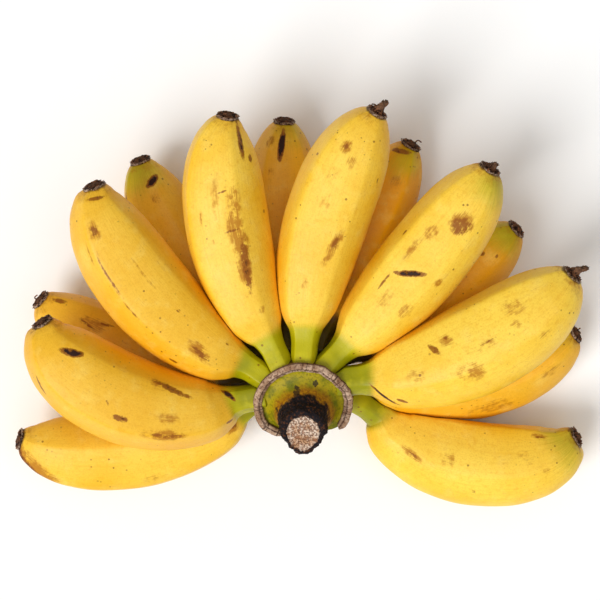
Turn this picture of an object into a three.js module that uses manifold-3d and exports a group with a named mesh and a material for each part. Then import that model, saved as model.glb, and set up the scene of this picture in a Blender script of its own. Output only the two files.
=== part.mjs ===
// A hand of apple bananas, as cut from its bunch: fourteen short, plump fingers in two rows
// round one crown, lying on the bellies of the lower row with the cut stub upwards.
// Millimetres and degrees. +Z is up. +X and +Y span the table, and the fingers fan out
// towards -X, +Y and +X from a crown that is open towards -Y.

import * as THREE from "three";
import { mergeVertices } from "three/addons/utils/BufferGeometryUtils.js";
import Module from "manifold-3d";

const wasm = await Module();
wasm.setup();

// ---------------------------------------------------------------- driving dimensions

const CLEARANCE = 0.3; // left between any two pieces that touch

const CROWN = {
  tilt: 30, // its face leans this far from level, towards -Y
  radius: 19.5, // of the cushion that the fingers grow from
  depth: 27, // from the bract scar down to the underside
  openEdge: 13.5, // from the middle to the flat side where no finger grows
};
const SCAR = { radius: 19.2, width: 3.4, height: 2.8, from: -145, to: 128 }; // the corky bract scar
const STUB = { foot: 13.5, face: 10.4, height: 17, back: 4 }; // the cut end of the stalk

const SEAT_RADIUS = 16; // the fingers' spines start this far from the crown's middle
const SEAT_HEIGHT = { upper: -5, lower: -15 }; // and this far from the scar's level

const FINGER = {
  flatness: 0.92, // its thickness as a share of its width
  ridge: 0.03, // how far the five blunt ridges stand out, as a share of the radius
  straight: 0.08, // the share of its length, at the stalk end, that doesn't bend
  stalk: 0.13, // the share of its length that is stalk, where its row doesn't say
};

// A finger's radius as a share of its half girth, at shares of its length from the crown.
const GIRTH_PROFILE = [
  [0, 0.31],
  [0.08, 0.31],
  [0.13, 0.37],
  [0.17, 0.52],
  [0.22, 0.69],
  [0.3, 0.82],
  [0.42, 0.94],
  [0.56, 1],
  [0.69, 0.98],
  [0.8, 0.89],
  [0.89, 0.72],
  [0.95, 0.51],
  [0.98, 0.36],
  [1, 0.29],
];

// Headings are read clockwise from +Y, and pitches upwards from the level, both at the crown
// and at the tip. seat is the heading of the place on the crown where the finger grows, and
// belly is how far its fullest part hangs to the right of the line of its stalk. The last finger
// has a longer stalk than the others.
const UPPER_ROW = [
  { seat: -85, heading: [-99, -37], pitch: [-2, 22], belly: -6, length: 105, girth: 38 },
  { seat: -58, heading: [-56, -24], pitch: [-4, 24], belly: -5, length: 113, girth: 37.5 },
  { seat: -31, heading: [-26, 5], pitch: [-6, 26], belly: -3, length: 112, girth: 35.5 },
  { seat: 0, heading: [4, 31], pitch: [-6, 26], belly: -1, length: 113, girth: 35.5 },
  { seat: 29, heading: [44, 34], pitch: [-6, 25], belly: 1, length: 111, girth: 36 },
  { seat: 58, heading: [84, 42], pitch: [-3, 22], belly: 1, length: 112, girth: 40 },
];
const LOWER_ROW = [
  { seat: -109, heading: [-117, -80], pitch: [-24, 20], belly: -4, length: 115, girth: 35 },
  { seat: -76, heading: [-88, -52], pitch: [-33, 22], belly: -2, length: 112, girth: 34 },
  { seat: -45, heading: [-45, -22], pitch: [-37, 24], belly: -2, length: 114, girth: 34 },
  { seat: -15, heading: [-7, 3], pitch: [-41, 24], belly: 0, length: 110, girth: 33 },
  { seat: 15, heading: [20, 31], pitch: [-41, 24], belly: 0, length: 109, girth: 33 },
  { seat: 44, heading: [61, 48], pitch: [-39, 24], belly: 0, length: 108, girth: 33 },
  { seat: 72, heading: [97, 61], pitch: [-34, 22], belly: 4, length: 113, girth: 34 },
  {
    seat: 96,
    heading: [122, 78],
    pitch: [-27, 20],
    belly: 10,
    length: 112,
    girth: 37,
    stalk: 0.2,
  },
];

const AROUND = 15; // facets round a finger: three to a ridge
const SPINE_STEPS = 40;

// ---------------------------------------------------------------- solids and meshes

function solidOf(geometry) {
  const bare = geometry.index ? geometry.toNonIndexed() : geometry.clone();
  bare.deleteAttribute("normal");
  bare.deleteAttribute("uv");
  const merged = mergeVertices(bare, 1e-3);
  return new wasm.Manifold(
    new wasm.Mesh({
      numProp: 3,
      vertProperties: merged.attributes.position.array,
      triVerts: new Uint32Array(merged.index.array),
    }),
  );
}

function geometryOf(solid) {
  const mesh = solid.getMesh();
  const geometry = new THREE.BufferGeometry();
  geometry.setAttribute("position", new THREE.BufferAttribute(mesh.vertProperties, 3));
  geometry.setIndex(new THREE.BufferAttribute(mesh.triVerts, 1));
  geometry.computeVertexNormals();
  return geometry;
}

// ---------------------------------------------------------------- a finger's spine

function direction(heading, pitch) {
  const h = THREE.MathUtils.degToRad(heading);
  const p = THREE.MathUtils.degToRad(pitch);
  return new THREE.Vector3(
    Math.sin(h) * Math.cos(p),
    Math.cos(h) * Math.cos(p),
    Math.sin(p),
  );
}

// A finger's radius as a share of its half girth, at a share of its length.
function girthAt(share) {
  const next = Math.max(1, GIRTH_PROFILE.findIndex(([station]) => station >= share));
  const [from, thin] = GIRTH_PROFILE[next - 1];
  const [to, thick] = GIRTH_PROFILE[next];
  return THREE.MathUtils.mapLinear(share, from, to, thin, thick);
}

// Stretches the shares from 0 to 1 so that one of them lands on another.
function stretch(share, from, to) {
  return share < from
    ? THREE.MathUtils.mapLinear(share, 0, from, 0, to)
    : THREE.MathUtils.mapLinear(share, from, 1, to, 1);
}

// Walks from the seat to the tip, turning evenly from one heading and pitch to the other, and
// carries the body to its belly's side as it fills out.
function spineOf(finger, seatHeight) {
  const step = finger.length / SPINE_STEPS;
  const at = direction(finger.seat, 0).multiplyScalar(SEAT_RADIUS);
  at.z = seatHeight;
  at.applyAxisAngle(new THREE.Vector3(1, 0, 0), THREE.MathUtils.degToRad(CROWN.tilt));
  const thinnest = girthAt(0);
  const points = [];
  for (let i = 0; i <= SPINE_STEPS; i++) {
    const share = i / SPINE_STEPS;
    const turn = Math.max(0, (share - FINGER.straight) / (1 - FINGER.straight));
    const heading = THREE.MathUtils.lerp(...finger.heading, turn);
    const pitch = THREE.MathUtils.lerp(...finger.pitch, turn);
    const girth = girthAt(stretch(share, finger.stalk ?? FINGER.stalk, FINGER.stalk));
    const aside = (finger.belly * Math.max(0, girth - thinnest)) / (1 - thinnest);
    points.push(at.clone().addScaledVector(direction(heading + 90, 0), aside));
    at.addScaledVector(direction(heading, pitch), step);
  }
  return new THREE.CatmullRomCurve3(points);
}

// The spine's place and axes at a share of its length: along it, up from it and to its side.
function frameAt(spine, share) {
  const along = spine.getTangent(share);
  const up = new THREE.Vector3(0, 0, 1);
  up.addScaledVector(along, -up.dot(along)).normalize();
  const side = new THREE.Vector3().crossVectors(along, up);
  return new THREE.Matrix4()
    .makeBasis(side, along, up)
    .setPosition(spine.getPoint(share));
}

// ---------------------------------------------------------------- pieces

// A turned body, ridged and flattened, and bent along its spine.
function fingerSolid(finger, spine, grow = 0) {
  const profile = GIRTH_PROFILE.map(
    ([station, girth]) =>
      new THREE.Vector2(
        (girth * finger.girth) / 2 + grow,
        stretch(station, FINGER.stalk, finger.stalk ?? FINGER.stalk),
      ),
  );
  profile.unshift(new THREE.Vector2(0, 0));
  profile.push(new THREE.Vector2(0, 1));
  const geometry = new THREE.LatheGeometry(profile, AROUND);
  const position = geometry.attributes.position;
  const vertex = new THREE.Vector3();
  for (let i = 0; i < position.count; i++) {
    vertex.fromBufferAttribute(position, i);
    const share = vertex.y;
    const ridge = 1 + FINGER.ridge * Math.cos(5 * Math.atan2(vertex.x, vertex.z));
    vertex.set(vertex.x * ridge, 0, vertex.z * ridge * FINGER.flatness);
    vertex.applyMatrix4(frameAt(spine, share));
    position.setXYZ(i, vertex.x, vertex.y, vertex.z);
  }
  return solidOf(geometry);
}

// The dried flower's scar on the tip: a flared disc with a worn style in its middle.
function blossomGeometry(spine) {
  const profile = [
    [0, 0],
    [4.6, 0],
    [5.2, 1],
    [4.6, 2],
    [2.2, 2.2],
    [1.4, 4],
    [0, 4.2],
  ].map(([radius, height]) => new THREE.Vector2(radius, height + CLEARANCE));
  const geometry = new THREE.LatheGeometry(profile, 10);
  geometry.applyMatrix4(frameAt(spine, 1));
  return geometry;
}

// The cushion with its bract scar and the stub of the bunch's stalk.
function crownSolid(grow = 0) {
  const r = CROWN.radius + grow;
  const cushion = new THREE.LatheGeometry(
    [
      [0, -CROWN.depth - grow],
      [0.45 * r, -0.94 * CROWN.depth - grow],
      [0.78 * r, -0.74 * CROWN.depth],
      [0.96 * r, -0.45 * CROWN.depth],
      [r, -0.12 * CROWN.depth],
      [0.97 * r, 0.6],
      [0.9 * r, 0.2],
      [0.7 * r, 1.4],
      [0, 3],
    ].map(([radius, height]) => new THREE.Vector2(radius, height)),
    30,
  ).rotateX(Math.PI / 2);
  const keep = new THREE.BoxGeometry(3 * r, 3 * r, 3 * CROWN.depth);
  keep.translate(0, 1.5 * r - CROWN.openEdge - grow, 0);

  const scarPath = new THREE.CatmullRomCurve3(
    Array.from({ length: 25 }, (_, i) =>
      direction(THREE.MathUtils.lerp(SCAR.from, SCAR.to, i / 24), 0).multiplyScalar(SCAR.radius),
    ),
  );
  const scarSection = new THREE.Shape();
  scarSection.absellipse(0, 0, SCAR.height / 2 + grow, SCAR.width / 2 + grow, 0, 2 * Math.PI);
  const scar = new THREE.ExtrudeGeometry(scarSection, {
    steps: 28,
    curveSegments: 4,
    extrudePath: scarPath,
  });

  const stub = new THREE.CylinderGeometry(STUB.face, STUB.foot, STUB.height, 18);
  stub.translate(0, STUB.height / 2, 0);
  stub.rotateX(Math.PI / 2);
  stub.translate(0, -STUB.back, 0);

  return solidOf(cushion)
    .intersect(solidOf(keep))
    .add(solidOf(scar))
    .add(solidOf(stub))
    .rotate([CROWN.tilt, 0, 0]);
}

// ---------------------------------------------------------------- materials

const peel = new THREE.MeshStandardMaterial({ color: 0xf2b92f, roughness: 0.45, metalness: 0 });
const greenStalk = new THREE.MeshStandardMaterial({ color: 0x8f8a1c, roughness: 0.6, metalness: 0 });
const driedFlower = new THREE.MeshStandardMaterial({ color: 0x54392a, roughness: 0.9, metalness: 0 });

// ---------------------------------------------------------------- the hand

const hand = new THREE.Group();

function addMesh(name, geometry, material) {
  const mesh = new THREE.Mesh(geometry, material);
  mesh.name = name;
  hand.add(mesh);
}

addMesh("crown", geometryOf(crownSolid()), greenStalk);

// Each finger gives way to the crown and to the fingers made before it, where they press.
// Any crumb of its root that is left on the crown's far side isn't kept.
const taken = [crownSolid(CLEARANCE)];
function addRow(row, fingers) {
  fingers.forEach((finger, i) => {
    const spine = spineOf(finger, SEAT_HEIGHT[row]);
    let solid = fingerSolid(finger, spine);
    for (const other of taken) {
      solid = solid.subtract(other);
    }
    taken.push(fingerSolid(finger, spine, CLEARANCE));
    const [body] = solid.decompose().sort((a, b) => b.volume() - a.volume());
    addMesh(`finger_${row}_${i + 1}`, geometryOf(body), peel);
    addMesh(`blossom_${row}_${i + 1}`, blossomGeometry(spine), driedFlower);
  });
}
addRow("upper", UPPER_ROW);
addRow("lower", LOWER_ROW);

// The origin is under the middle of the hand, on the table that it lies on.
const box = new THREE.Box3().setFromObject(hand);
const middle = box.getCenter(new THREE.Vector3());
hand.children.forEach((mesh) => mesh.position.set(-middle.x, -middle.y, -box.min.z));

export default hand;
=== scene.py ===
# %% [markdown]
# # A hand of apple bananas
# Fourteen short, plump fingers grow in two rows from one crown. Each finger is a bent, ridged
# body with a green neck and a dried flower end, and the crown carries a corky scar and the cut
# stub of the bunch's stalk. The imported CAD model gives every piece its place, so it is loaded
# first.

import math

import bpy
import numpy as np
from mathutils import Matrix, Vector, noise


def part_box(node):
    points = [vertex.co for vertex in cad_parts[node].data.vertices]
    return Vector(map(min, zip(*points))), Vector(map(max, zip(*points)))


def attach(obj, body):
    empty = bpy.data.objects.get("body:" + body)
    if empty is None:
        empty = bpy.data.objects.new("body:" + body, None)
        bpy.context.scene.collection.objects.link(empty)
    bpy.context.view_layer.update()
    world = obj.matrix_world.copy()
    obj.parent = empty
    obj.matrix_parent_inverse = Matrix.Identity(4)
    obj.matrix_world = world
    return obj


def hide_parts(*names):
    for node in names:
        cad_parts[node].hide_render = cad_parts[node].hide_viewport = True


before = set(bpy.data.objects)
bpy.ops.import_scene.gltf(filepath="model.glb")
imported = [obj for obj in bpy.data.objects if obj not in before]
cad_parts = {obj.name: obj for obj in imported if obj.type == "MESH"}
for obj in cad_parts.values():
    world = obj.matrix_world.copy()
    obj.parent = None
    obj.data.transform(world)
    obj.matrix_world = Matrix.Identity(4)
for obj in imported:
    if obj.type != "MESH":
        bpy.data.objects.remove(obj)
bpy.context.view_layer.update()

# %% [markdown]
# The hand is laid out from the middle of its scar. The crown's box gives that point: the box
# is symmetric across X, and the rim of the cut stub is both its highest and its lowest-Y edge.
# A finger is then one line of a table, in millimetres and degrees, because the fingers differ
# in bend, length and girth but all follow the same rule.

# %% Measures of the hand
MM = 0.001
CROWN_TILT = 30  # degrees that the crown's face leans from level, towards -Y
TILTED = Matrix.Rotation(math.radians(CROWN_TILT), 3, "X")
STUB_RIM = Vector((0, -20.97 * MM, 17.92 * MM))  # its extreme Y and Z, from the scar's middle

crown_low, crown_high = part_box("crown")
scar_middle = Vector(
    (
        (crown_low.x + crown_high.x) / 2,
        crown_low.y - STUB_RIM.y,
        crown_high.z - STUB_RIM.z,
    )
)
print("middle of the scar:", [round(v, 4) for v in scar_middle])

SEAT_RADIUS = 16 * MM
SEAT_HEIGHT = {"upper": -5 * MM, "lower": -15 * MM}
FLATNESS = 0.92  # a finger's thickness as a share of its width
STRAIGHT = 0.08  # the share of a finger, at the crown, that doesn't bend
STALK = 0.13  # the share of a finger that is stalk
LONG_STALKS = {"lower_8": 0.2}  # and that share of the fingers that hang by a longer one

# Headings are read clockwise from +Y and pitches up from the level, at the crown and at the tip.
# seat is the heading of the place on the crown where the finger grows, belly is how far its
# fullest part hangs to the right of its stalk's line, and ridge is where its first ridge runs:
# 0 is the top, and 90 the right-hand side of someone who looks from the crown to the tip.
COLUMNS = ("seat", "heading", "pitch", "belly", "length", "girth", "ridge")
FINGERS = {
    "upper_1": (-85, (-99, -37), (-2, 22), -6, 105, 38, -34),
    "upper_2": (-58, (-56, -24), (-4, 24), -5, 113, 37.5, -28),
    "upper_3": (-31, (-26, 5), (-6, 26), -3, 112, 35.5, -50),
    "upper_4": (0, (4, 31), (-6, 26), -1, 113, 35.5, -40),
    "upper_5": (29, (44, 34), (-6, 25), 1, 111, 36, -42),
    "upper_6": (58, (84, 42), (-3, 22), 1, 112, 40, -50),
    "lower_1": (-109, (-117, -80), (-24, 20), -4, 115, 35, 8),
    "lower_2": (-76, (-88, -52), (-33, 22), -2, 112, 34, -20),
    "lower_3": (-45, (-45, -22), (-37, 24), -2, 114, 34, -55),
    "lower_4": (-15, (-7, 3), (-41, 24), 0, 110, 33, -30),
    "lower_5": (15, (20, 31), (-41, 24), 0, 109, 33, 30),
    "lower_6": (44, (61, 48), (-39, 24), 0, 108, 33, -45),
    "lower_7": (72, (97, 61), (-34, 22), 4, 113, 34, 20),
    "lower_8": (96, (122, 78), (-27, 20), 10, 112, 37, -58),
}
FINGERS = {name: dict(zip(COLUMNS, row)) for name, row in FINGERS.items()}
for name, finger in FINGERS.items():
    finger["stalk"] = LONG_STALKS.get(name, STALK)
print(len(FINGERS), "fingers")

# %% [markdown]
# A finger's girth follows one profile from the neck to the tip. A few stations say how full it
# is, and a monotone cubic through them keeps the outline free of corners and of false waists.

# %% The profile of a finger
PROFILE = (
    (0, 0.31), (0.08, 0.31), (0.13, 0.37), (0.17, 0.52), (0.22, 0.69), (0.3, 0.82),
    (0.42, 0.94), (0.56, 1), (0.69, 0.98), (0.8, 0.89), (0.89, 0.72), (0.95, 0.51),
    (0.98, 0.36), (1, 0.29),
)  # fmt: skip
PROFILE_AT, PROFILE_GIRTH = np.array(PROFILE).T


def smooth_through(stations, values, at):
    """Cubic values at the shares asked for, level where the stations turn back."""
    slopes = np.diff(values) / np.diff(stations)
    same_way = slopes[1:] * slopes[:-1] > 0
    inner = np.zeros(len(slopes) - 1)
    inner[same_way] = 2 / (1 / slopes[1:][same_way] + 1 / slopes[:-1][same_way])
    tangents = np.concatenate(([slopes[0]], inner, [slopes[-1]]))
    i = np.clip(np.searchsorted(stations, at, side="right") - 1, 0, len(slopes) - 1)
    width = stations[i + 1] - stations[i]
    t = (at - stations[i]) / width
    return (
        values[i] * (2 * t**3 - 3 * t**2 + 1)
        + values[i + 1] * (3 * t**2 - 2 * t**3)
        + tangents[i] * width * (t**3 - 2 * t**2 + t)
        + tangents[i + 1] * width * (t**3 - t**2)
    )


def on_profile(share, finger):
    """The share of the profile at a share of the finger, which may have a long stalk."""
    return np.interp(share, (0, finger["stalk"], 1), (0, STALK, 1))


def girth_at(share, finger):
    return smooth_through(PROFILE_AT, PROFILE_GIRTH, on_profile(share, finger))


first_girths = girth_at([0.1, 0.5, 0.9], FINGERS["upper_1"])
print("girth at a tenth, a half and nine tenths:", first_girths.round(3))

# %% [markdown]
# The spine of a finger is walked from its seat on the crown to its tip, turning a little at
# each step. The walk is the CAD model's own rule, so the skins land where the solids are. At
# each station the frame is the direction along, the direction up and the direction to the side.

# %% Walk the spines
STATIONS = 101


def direction(heading, pitch):
    h, p = np.broadcast_arrays(np.radians(heading), np.radians(pitch))
    return np.stack((np.sin(h) * np.cos(p), np.cos(h) * np.cos(p), np.sin(p)), axis=-1)


def unit(vectors):
    return vectors / np.linalg.norm(vectors, axis=-1, keepdims=True)


def walk_spine(finger, row):
    share = np.linspace(0, 1, STATIONS)
    turn = np.clip((share - STRAIGHT) / (1 - STRAIGHT), 0, 1)
    heading = np.interp(turn, (0, 1), finger["heading"])
    pitch = np.interp(turn, (0, 1), finger["pitch"])
    seat = Vector(direction(finger["seat"], 0) * SEAT_RADIUS)
    seat.z = SEAT_HEIGHT[row]
    start = scar_middle + TILTED @ seat
    steps = direction(heading, pitch)[:-1] * finger["length"] * MM / (STATIONS - 1)
    line = np.vstack((np.zeros(3), np.cumsum(steps, axis=0)))
    thinnest = PROFILE_GIRTH[0]
    fullness = np.clip((girth_at(share, finger) - thinnest) / (1 - thinnest), 0, None)
    aside = direction(heading + 90, 0) * (finger["belly"] * MM * fullness)[:, None]
    place = np.array(start) + line + aside
    along = unit(np.gradient(place, axis=0))
    up = unit(np.array((0, 0, 1)) - along * along[:, 2:])
    return {
        "place": place,
        "along": along,
        "up": up,
        "side": np.cross(along, up),
        "radius": girth_at(share, finger) * finger["girth"] * MM / 2,
    }


for name, finger in FINGERS.items():
    finger["spine"] = walk_spine(finger, name.split("_")[0])
print("tip of the first finger:", FINGERS["upper_1"]["spine"]["place"][-1].round(4))

# %% [markdown]
# Node trees are long to write out, so a few helpers add a node, feed its sockets and return an
# output. They serve the shape trees and the finishes alike.

# %% Helpers for node trees
def add(tree, kind, **settings):
    node = tree.nodes.new(kind)
    for key, value in settings.items():
        setattr(node, key, value)
    return node


def feed(tree, socket, value):
    if isinstance(value, bpy.types.NodeSocket):
        tree.links.new(value, socket)
    else:
        socket.default_value = value


def calc(tree, operation, a, b=0.0, c=0.0, clamp=False):
    node = add(tree, "ShaderNodeMath", operation=operation, use_clamp=clamp)
    for socket, value in zip(node.inputs, (a, b, c)):
        feed(tree, socket, value)
    return node.outputs[0]


def vector_calc(tree, operation, a, b=None, scale=None):
    node = add(tree, "ShaderNodeVectorMath", operation=operation)
    feed(tree, node.inputs[0], a)
    if b is not None:
        feed(tree, node.inputs[1], b)
    if scale is not None:
        feed(tree, node.inputs["Scale"], scale)
    return node.outputs["Value" if operation in ("DOT_PRODUCT", "LENGTH") else "Vector"]


def ease(tree, value, low, high, to_low=0.0, to_high=1.0):
    """A smooth step from to_low to to_high as value goes from low to high."""
    node = add(tree, "ShaderNodeMapRange", interpolation_type="SMOOTHSTEP")
    for socket, number in zip(node.inputs, (value, low, high, to_low, to_high)):
        feed(tree, socket, number)
    return node.outputs[0]


def split(tree, vector):
    node = add(tree, "ShaderNodeSeparateXYZ")
    feed(tree, node.inputs[0], vector)
    return node.outputs[:3]


def noise_value(tree, vector, scale, detail=2.0, roughness=0.5, seed=0.0):
    node = add(tree, "ShaderNodeTexNoise", noise_dimensions="4D")
    feed(tree, node.inputs["Vector"], vector)
    feed(tree, node.inputs["W"], seed)
    feed(tree, node.inputs["Scale"], scale)
    feed(tree, node.inputs["Detail"], detail)
    feed(tree, node.inputs["Roughness"], roughness)
    return node.outputs[0]


def shape_tree(name, inputs):
    """A geometry tree with a Geometry input and output and the named inputs asked for."""
    tree = bpy.data.node_groups.new(name, "GeometryNodeTree")
    tree.interface.new_socket("Geometry", in_out="OUTPUT", socket_type="NodeSocketGeometry")
    tree.interface.new_socket("Geometry", in_out="INPUT", socket_type="NodeSocketGeometry")
    for label, kind in inputs.items():
        tree.interface.new_socket(label, in_out="INPUT", socket_type="NodeSocket" + kind)
    return tree, add(tree, "NodeGroupInput").outputs


def swept_tube(tree, given):
    """A closed tube of length 1, and what its points need to follow the curve that is given."""
    tube = add(tree, "GeometryNodeMeshCylinder", fill_type="TRIANGLE_FAN")
    feed(tree, tube.inputs["Vertices"], given["Facets"])
    feed(tree, tube.inputs["Side Segments"], given["Rings"])
    feed(tree, tube.inputs["Depth"], 1.0)
    x, y, level = split(tree, add(tree, "GeometryNodeInputPosition").outputs[0])
    along = calc(tree, "ADD", level, 0.5, clamp=True)
    path = add(tree, "GeometryNodeSampleCurve", mode="FACTOR")
    feed(tree, path.inputs["Curves"], given["Geometry"])
    feed(tree, path.inputs["Value"], add(tree, "GeometryNodeInputRadius").outputs[0])
    feed(tree, path.inputs["Factor"], along)
    radius, place, ahead = (path.outputs[key] for key in ("Value", "Position", "Tangent"))
    return tube.outputs["Mesh"], (x, y, along), radius, place, ahead


def moved(tree, geometry, place):
    node = add(tree, "GeometryNodeSetPosition")
    feed(tree, node.inputs["Geometry"], geometry)
    feed(tree, node.inputs["Position"], place)
    return node.outputs[0]


def combined(tree, x, y, z):
    node = add(tree, "ShaderNodeCombineXYZ")
    for socket, value in zip(node.inputs, (x, y, z)):
        feed(tree, socket, value)
    return node.outputs[0]


def scaled(tree, vector, scale):
    return vector_calc(tree, "SCALE", vector, scale=scale)


def store(tree, geometry, name, value, kind="FLOAT"):
    node = add(tree, "GeometryNodeStoreNamedAttribute", data_type=kind, domain="POINT")
    feed(tree, node.inputs["Geometry"], geometry)
    feed(tree, node.inputs["Name"], name)
    feed(tree, node.inputs["Value"], value)
    return node.outputs[0]


def end_shape(tree, geometry, material):
    """Smooth faces, real meshes and a finish, as the last steps of every shape tree."""
    smooth = add(tree, "GeometryNodeSetShadeSmooth")
    feed(tree, smooth.inputs["Geometry"], geometry)
    real = add(tree, "GeometryNodeRealizeInstances")
    feed(tree, real.inputs[0], smooth.outputs[0])
    finish = add(tree, "GeometryNodeSetMaterial")
    feed(tree, finish.inputs["Geometry"], real.outputs[0])
    feed(tree, finish.inputs["Material"], material)
    feed(tree, add(tree, "NodeGroupOutput").inputs[0], finish.outputs[0])


def placed(name, data):
    """A new object in the scene that shows a mesh, a curve, a lamp or a camera."""
    thing = bpy.data.objects.new(name, data)
    bpy.context.scene.collection.objects.link(thing)
    return thing


def shaped(name, base, tree, values):
    """Runs a shape tree on base and returns the result as a plain mesh object."""
    source = placed(name + "_source", base)
    modifier = source.modifiers.new("shape", "NODES")
    modifier.node_group = tree
    sockets = {s.name: s.identifier for s in tree.interface.items_tree if s.in_out == "INPUT"}
    for label, value in values.items():
        modifier[sockets[label]] = value
    view = bpy.context.evaluated_depsgraph_get()
    mesh = bpy.data.meshes.new_from_object(source.evaluated_get(view))
    bpy.data.objects.remove(source)
    return new_piece(name, mesh)


def new_piece(name, mesh):
    mesh.name = name
    return placed(name, mesh)


def line_of(name, places, radii):
    """A curve through the places, with a radius at each."""
    curve = bpy.data.curves.new(name, "CURVE")
    curve.dimensions = "3D"
    spline = curve.splines.new("POLY")
    spline.points.add(len(places) - 1)
    flat = np.column_stack((places, np.ones(len(places)))).ravel()
    spline.points.foreach_set("co", flat)
    spline.points.foreach_set("radius", np.asarray(radii, float))
    return curve


print("helpers ready")

# %% [markdown]
# ## The finish of the peel
# Ripe peel is a warm golden yellow, greener at the neck and the tip, with small dark freckles,
# brown rubbed patches and a few black bruises. Its tops are painted paler, as a highlight, and its
# flanks a deeper gold, as shade. A plain noise can't put a bruise in its place, so each finger's
# mesh carries soft fields that say where the green, the rubs, the bruises and the painted shade
# are. The finish then breaks the edges of those fields with fine noise, which keeps them crisp at
# any distance. The field called peel holds the position round the finger and along it, so fibres
# run lengthwise without a seam.

# %% Colours and small finish helpers
def colour(red, green, blue):
    """A colour as the eye reads it, from 0 to 255, in the linear values that nodes use."""
    channels = np.array((red, green, blue)) / 255
    linear = np.where(channels > 0.04045, ((channels + 0.055) / 1.055) ** 2.4, channels / 12.92)
    return (*linear.tolist(), 1.0)


def mix_colour(tree, share, a, b, blend="MIX"):
    node = add(tree, "ShaderNodeMix", data_type="RGBA", blend_type=blend)
    feed(tree, node.inputs[0], share)
    feed(tree, node.inputs[6], a)
    feed(tree, node.inputs[7], b)
    return node.outputs[2]


def wavering(tree, value, noise, amount):
    """A value, shifted up and down by a noise whose middle is a half."""
    return calc(tree, "MULTIPLY_ADD", calc(tree, "SUBTRACT", noise, 0.5), amount, value)


def field(tree, name, output="Fac"):
    return add(tree, "ShaderNodeAttribute", attribute_name=name).outputs[output]


def specks(tree, place, spacing, size, kept, seed):
    """Small round spots: one in each cell of the given spacing, in the share of cells kept."""
    cells = add(tree, "ShaderNodeTexVoronoi", voronoi_dimensions="4D", feature="F1")
    feed(tree, cells.inputs["Vector"], place)
    feed(tree, cells.inputs["W"], seed)
    feed(tree, cells.inputs["Scale"], 1 / spacing)
    draw = split(tree, cells.outputs["Color"])
    reach = calc(tree, "MULTIPLY", size / spacing, calc(tree, "ADD", draw[1], 0.35))
    spot = ease(tree, cells.outputs["Distance"], calc(tree, "MULTIPLY", reach, 1.15),
                calc(tree, "MULTIPLY", reach, 0.6))  # fmt: skip
    return calc(tree, "MULTIPLY", spot, calc(tree, "LESS_THAN", draw[0], kept))


def new_finish(name, **settings):
    """A material with one Principled shader, whose uniform values are set on its sockets."""
    material = bpy.data.materials.new(name)
    material.use_nodes = True
    tree = material.node_tree
    shader = tree.nodes["Principled BSDF"]
    for label, value in settings.items():
        shader.inputs[label.replace("_", " ")].default_value = value
    place = add(tree, "ShaderNodeTexCoord").outputs["Object"]
    return material, tree, shader, place


def emboss(tree, shader, height, depth):
    """Raises the surface by height, which is a share, times depth in metres."""
    bump = add(tree, "ShaderNodeBump")
    bump.inputs["Distance"].default_value = depth
    feed(tree, bump.inputs["Height"], height)
    feed(tree, shader.inputs["Normal"], bump.outputs[0])


print("golden yellow in linear values:", [round(v, 3) for v in colour(250, 192, 40)])

# %% [markdown]
# The peel's colour is laid on in the order that nature does: ripe yellow, then green where it
# is still unripe, then the rubs, bruises and freckles that came with handling. A mark's soft
# field is multiplied by stretched noise, so a full field stays netted in its middle, its edge
# tears, and nothing shows where the field is zero.

# %% The peel
def tear(tree, soft, noises, least=0.15, most=1.7):
    """A soft field, torn by the mean of some noises."""
    total = noises[0]
    for other in noises[1:]:
        total = calc(tree, "ADD", total, other)
    mean = calc(tree, "DIVIDE", total, float(len(noises)))
    return calc(tree, "MULTIPLY", soft, ease(tree, mean, 0.34, 0.66, least, most))


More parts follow.
